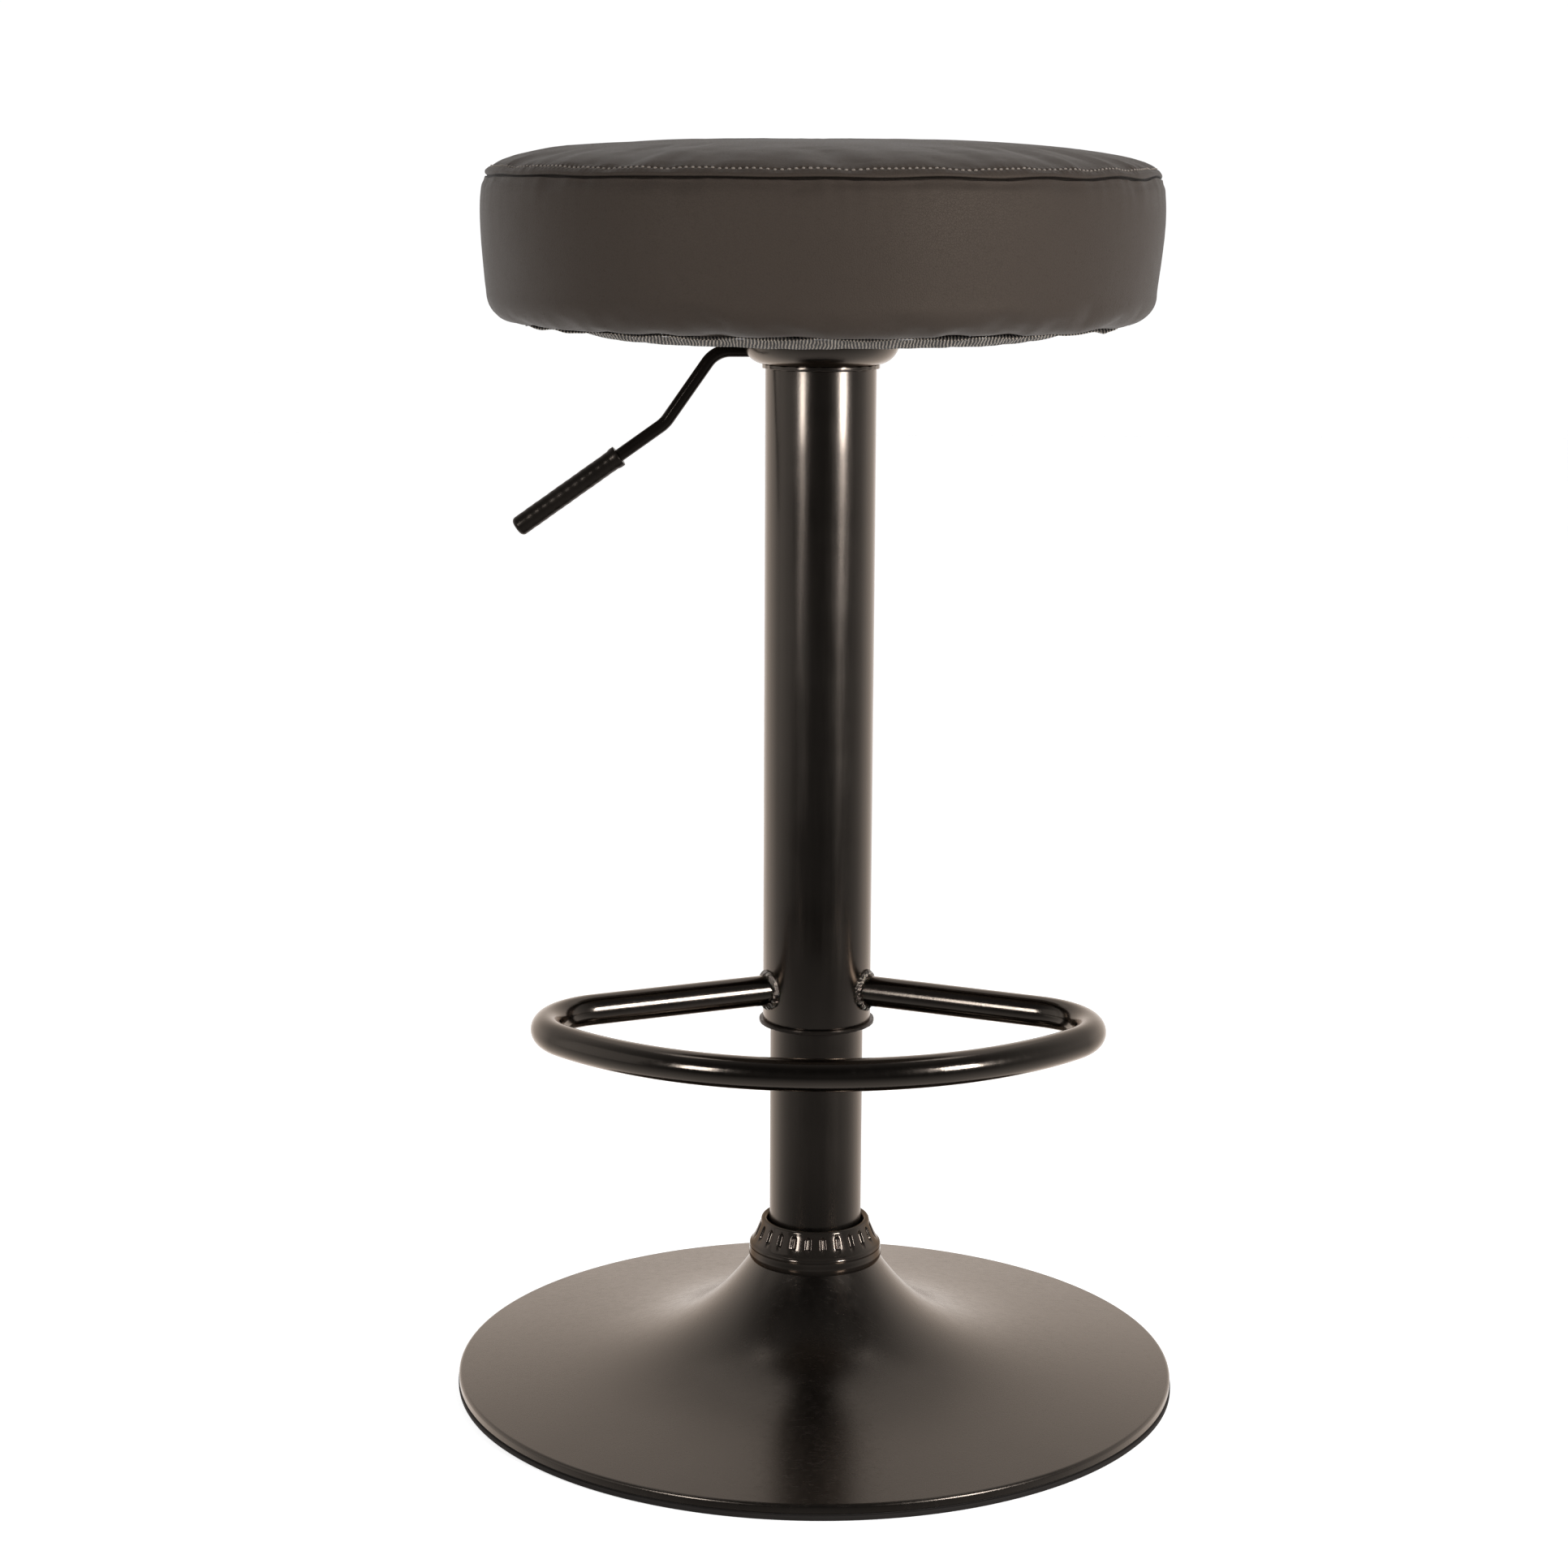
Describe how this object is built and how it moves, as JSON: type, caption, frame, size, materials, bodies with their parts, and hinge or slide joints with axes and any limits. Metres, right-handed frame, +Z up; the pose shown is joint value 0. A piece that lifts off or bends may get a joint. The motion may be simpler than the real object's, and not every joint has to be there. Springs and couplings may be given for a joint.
{
  "type": "bar stool",
  "caption": "Height-adjustable swivel bar stool with a round padded seat, telescopic column, D-shaped footrest, side lever and round trumpet base.",
  "frame": {"origin": "on the floor at the centre of the round base, on the column's axis", "axes": "+Z up; the footrest is towards -Y, the front; the lift lever is towards -X"},
  "size_m": [0.3849, 0.385, 0.658],
  "materials": {
    "frame_satin_brown": "satin",
    "collar_gloss_black": "gloss",
    "bush_black_plastic": "satin",
    "black_rubber": "matte",
    "black_painted_steel": "satin",
    "zinc_steel": "satin",
    "ballast_iron": "matte",
    "faux_leather_taupe": "satin",
    "dust_cloth": "matte",
    "plywood": "matte",
    "foam": "matte",
    "grip_black_vinyl": "satin"
  },
  "bodies": {
    "base": {"base_shell": "frame_satin_brown", "rim_ring": "black_rubber", "ballast_plate": "ballast_iron", "ballast_bolts": "zinc_steel", "hub_socket": "black_painted_steel", "base_collar": "collar_gloss_black", "standing_tube": "frame_satin_brown", "tube_end_plate": "zinc_steel", "guide_bush": "bush_black_plastic", "bearing_lower_race": "zinc_steel", "bearing_cage": "bush_black_plastic", "bearing_balls": "zinc_steel"},
    "rod": {"piston_rod": "zinc_steel", "piston": "zinc_steel", "piston_seal": "black_rubber", "bearing_upper_race": "zinc_steel", "rod_clip": "zinc_steel", "bottom_buffer": "black_rubber"},
    "seat": {"gas_cylinder": "black_painted_steel", "cylinder_gland": "bush_black_plastic", "outer_tube": "frame_satin_brown", "slide_bush": "bush_black_plastic", "top_cap": "bush_black_plastic", "footrest_bar": "frame_satin_brown", "footrest_welds": "frame_satin_brown", "taper_socket": "black_painted_steel", "bell_cover": "frame_satin_brown", "mount_plate": "black_painted_steel", "lever_bracket": "black_painted_steel", "pivot_pin": "zinc_steel", "mount_bolts": "zinc_steel", "mount_washers": "zinc_steel", "tee_nuts": "zinc_steel", "seat_board": "plywood", "seat_foam": "foam", "cover_top": "faux_leather_taupe", "cover_side": "faux_leather_taupe", "dust_cover": "dust_cloth", "staples": "zinc_steel"},
    "valve_pin": {"release_pin": "zinc_steel"},
    "lever": {"lever_rod": "black_painted_steel", "lever_grip": "grip_black_vinyl"}
  },
  "joints": [
    {"name": "seat_swivel", "type": "hinge", "parent": "base", "child": "rod", "pos_m": [0, 0, 0.3], "axis": [0, 0, 1], "continuous": true},
    {"name": "height_adjust", "type": "slide", "parent": "rod", "child": "seat", "axis": [0, 0, 1], "range_m": [-0.1, 0.11]},
    {"name": "lever_lift", "type": "hinge", "parent": "seat", "child": "lever", "pos_m": [-0.029, 0, 0.5518], "axis": [0, 1, 0], "range_deg": [0, 6], "stiffness_Nm_per_rad": 1, "springref_deg": -4.58},
    {"name": "valve_press", "type": "slide", "parent": "seat", "child": "valve_pin", "axis": [0, 0, -1], "range_m": [0, 0.0031]}
  ],
  "couplings": [
    {"joint": "valve_press", "follows": "lever_lift", "m_per_rad": 0.029}
  ]
}
